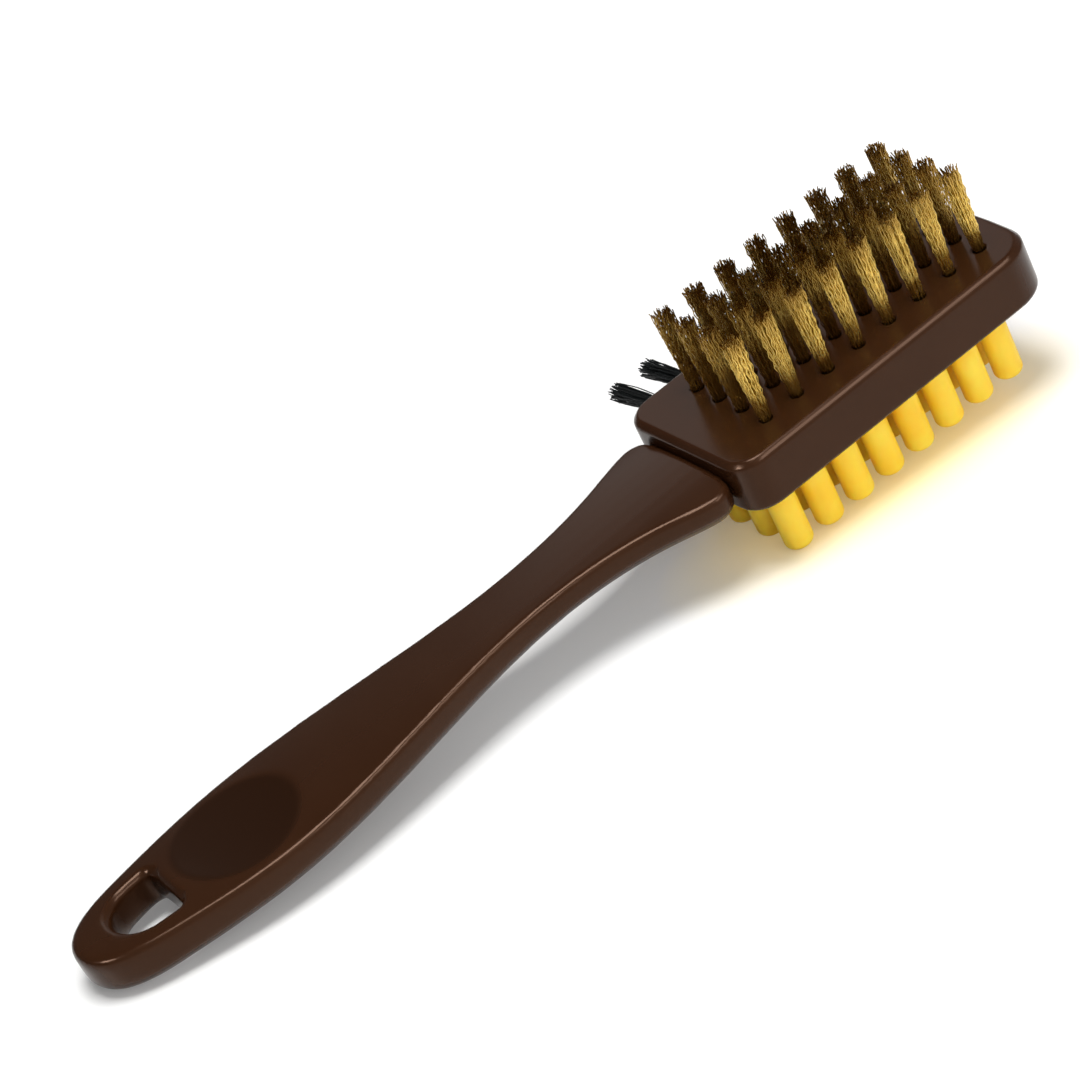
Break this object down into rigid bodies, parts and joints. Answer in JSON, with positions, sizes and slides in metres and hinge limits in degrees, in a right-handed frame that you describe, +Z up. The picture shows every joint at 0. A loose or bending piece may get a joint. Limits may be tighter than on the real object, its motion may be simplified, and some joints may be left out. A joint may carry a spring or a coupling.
{
  "type": "suede brush",
  "caption": "Hand brush for suede with a waisted handle and hang hole; a block head carries brass wire tufts, a side row of nylon tufts and a rubber finger pad underneath.",
  "frame": {"origin": "centre of the footprint, on the table the brush rests on", "axes": "+X from the handle's nose to the head's free end, +Y towards the side with the nylon tufts, +Z up, the way the brass tufts stand"},
  "size_m": [0.1984, 0.053, 0.0435],
  "materials": {
    "brown_plastic": "glossy",
    "brass_wire": "drawn wire",
    "black_nylon": "satin",
    "yellow_rubber": "matt, slightly translucent",
    "anchor_steel": "cut strip"
  },
  "bodies": {
    "root": {"handle": "brown_plastic", "head_block": "brown_plastic", "finger_pad": "yellow_rubber", "brass_tuft_r1_c1": "brass_wire", "brass_tuft_r1_c2": "brass_wire", "brass_tuft_r1_c3": "brass_wire", "brass_tuft_r1_c4": "brass_wire", "brass_tuft_r1_c5": "brass_wire", "brass_tuft_r1_c6": "brass_wire", "brass_tuft_r1_c7": "brass_wire", "brass_tuft_r1_c8": "brass_wire", "brass_tuft_r2_c1": "brass_wire", "brass_tuft_r2_c2": "brass_wire", "brass_tuft_r2_c3": "brass_wire", "brass_tuft_r2_c4": "brass_wire", "brass_tuft_r2_c5": "brass_wire", "brass_tuft_r2_c6": "brass_wire", "brass_tuft_r2_c7": "brass_wire", "brass_tuft_r2_c8": "brass_wire", "brass_tuft_r3_c1": "brass_wire", "brass_tuft_r3_c2": "brass_wire", "brass_tuft_r3_c3": "brass_wire", "brass_tuft_r3_c4": "brass_wire", "brass_tuft_r3_c5": "brass_wire", "brass_tuft_r3_c6": "brass_wire", "brass_tuft_r3_c7": "brass_wire", "brass_tuft_r3_c8": "brass_wire", "brass_tuft_r4_c1": "brass_wire", "brass_tuft_r4_c2": "brass_wire", "brass_tuft_r4_c3": "brass_wire", "brass_tuft_r4_c4": "brass_wire", "brass_tuft_r4_c5": "brass_wire", "brass_tuft_r4_c6": "brass_wire", "brass_tuft_r4_c7": "brass_wire", "brass_tuft_r4_c8": "brass_wire", "nylon_tuft_1": "black_nylon", "nylon_tuft_2": "black_nylon", "nylon_tuft_3": "black_nylon", "nylon_tuft_4": "black_nylon", "nylon_tuft_5": "black_nylon", "nylon_tuft_6": "black_nylon", "nylon_tuft_7": "black_nylon", "nylon_tuft_8": "black_nylon", "brass_tuft_anchors": "anchor_steel", "nylon_tuft_anchors": "anchor_steel"}
  },
  "joints": []
}
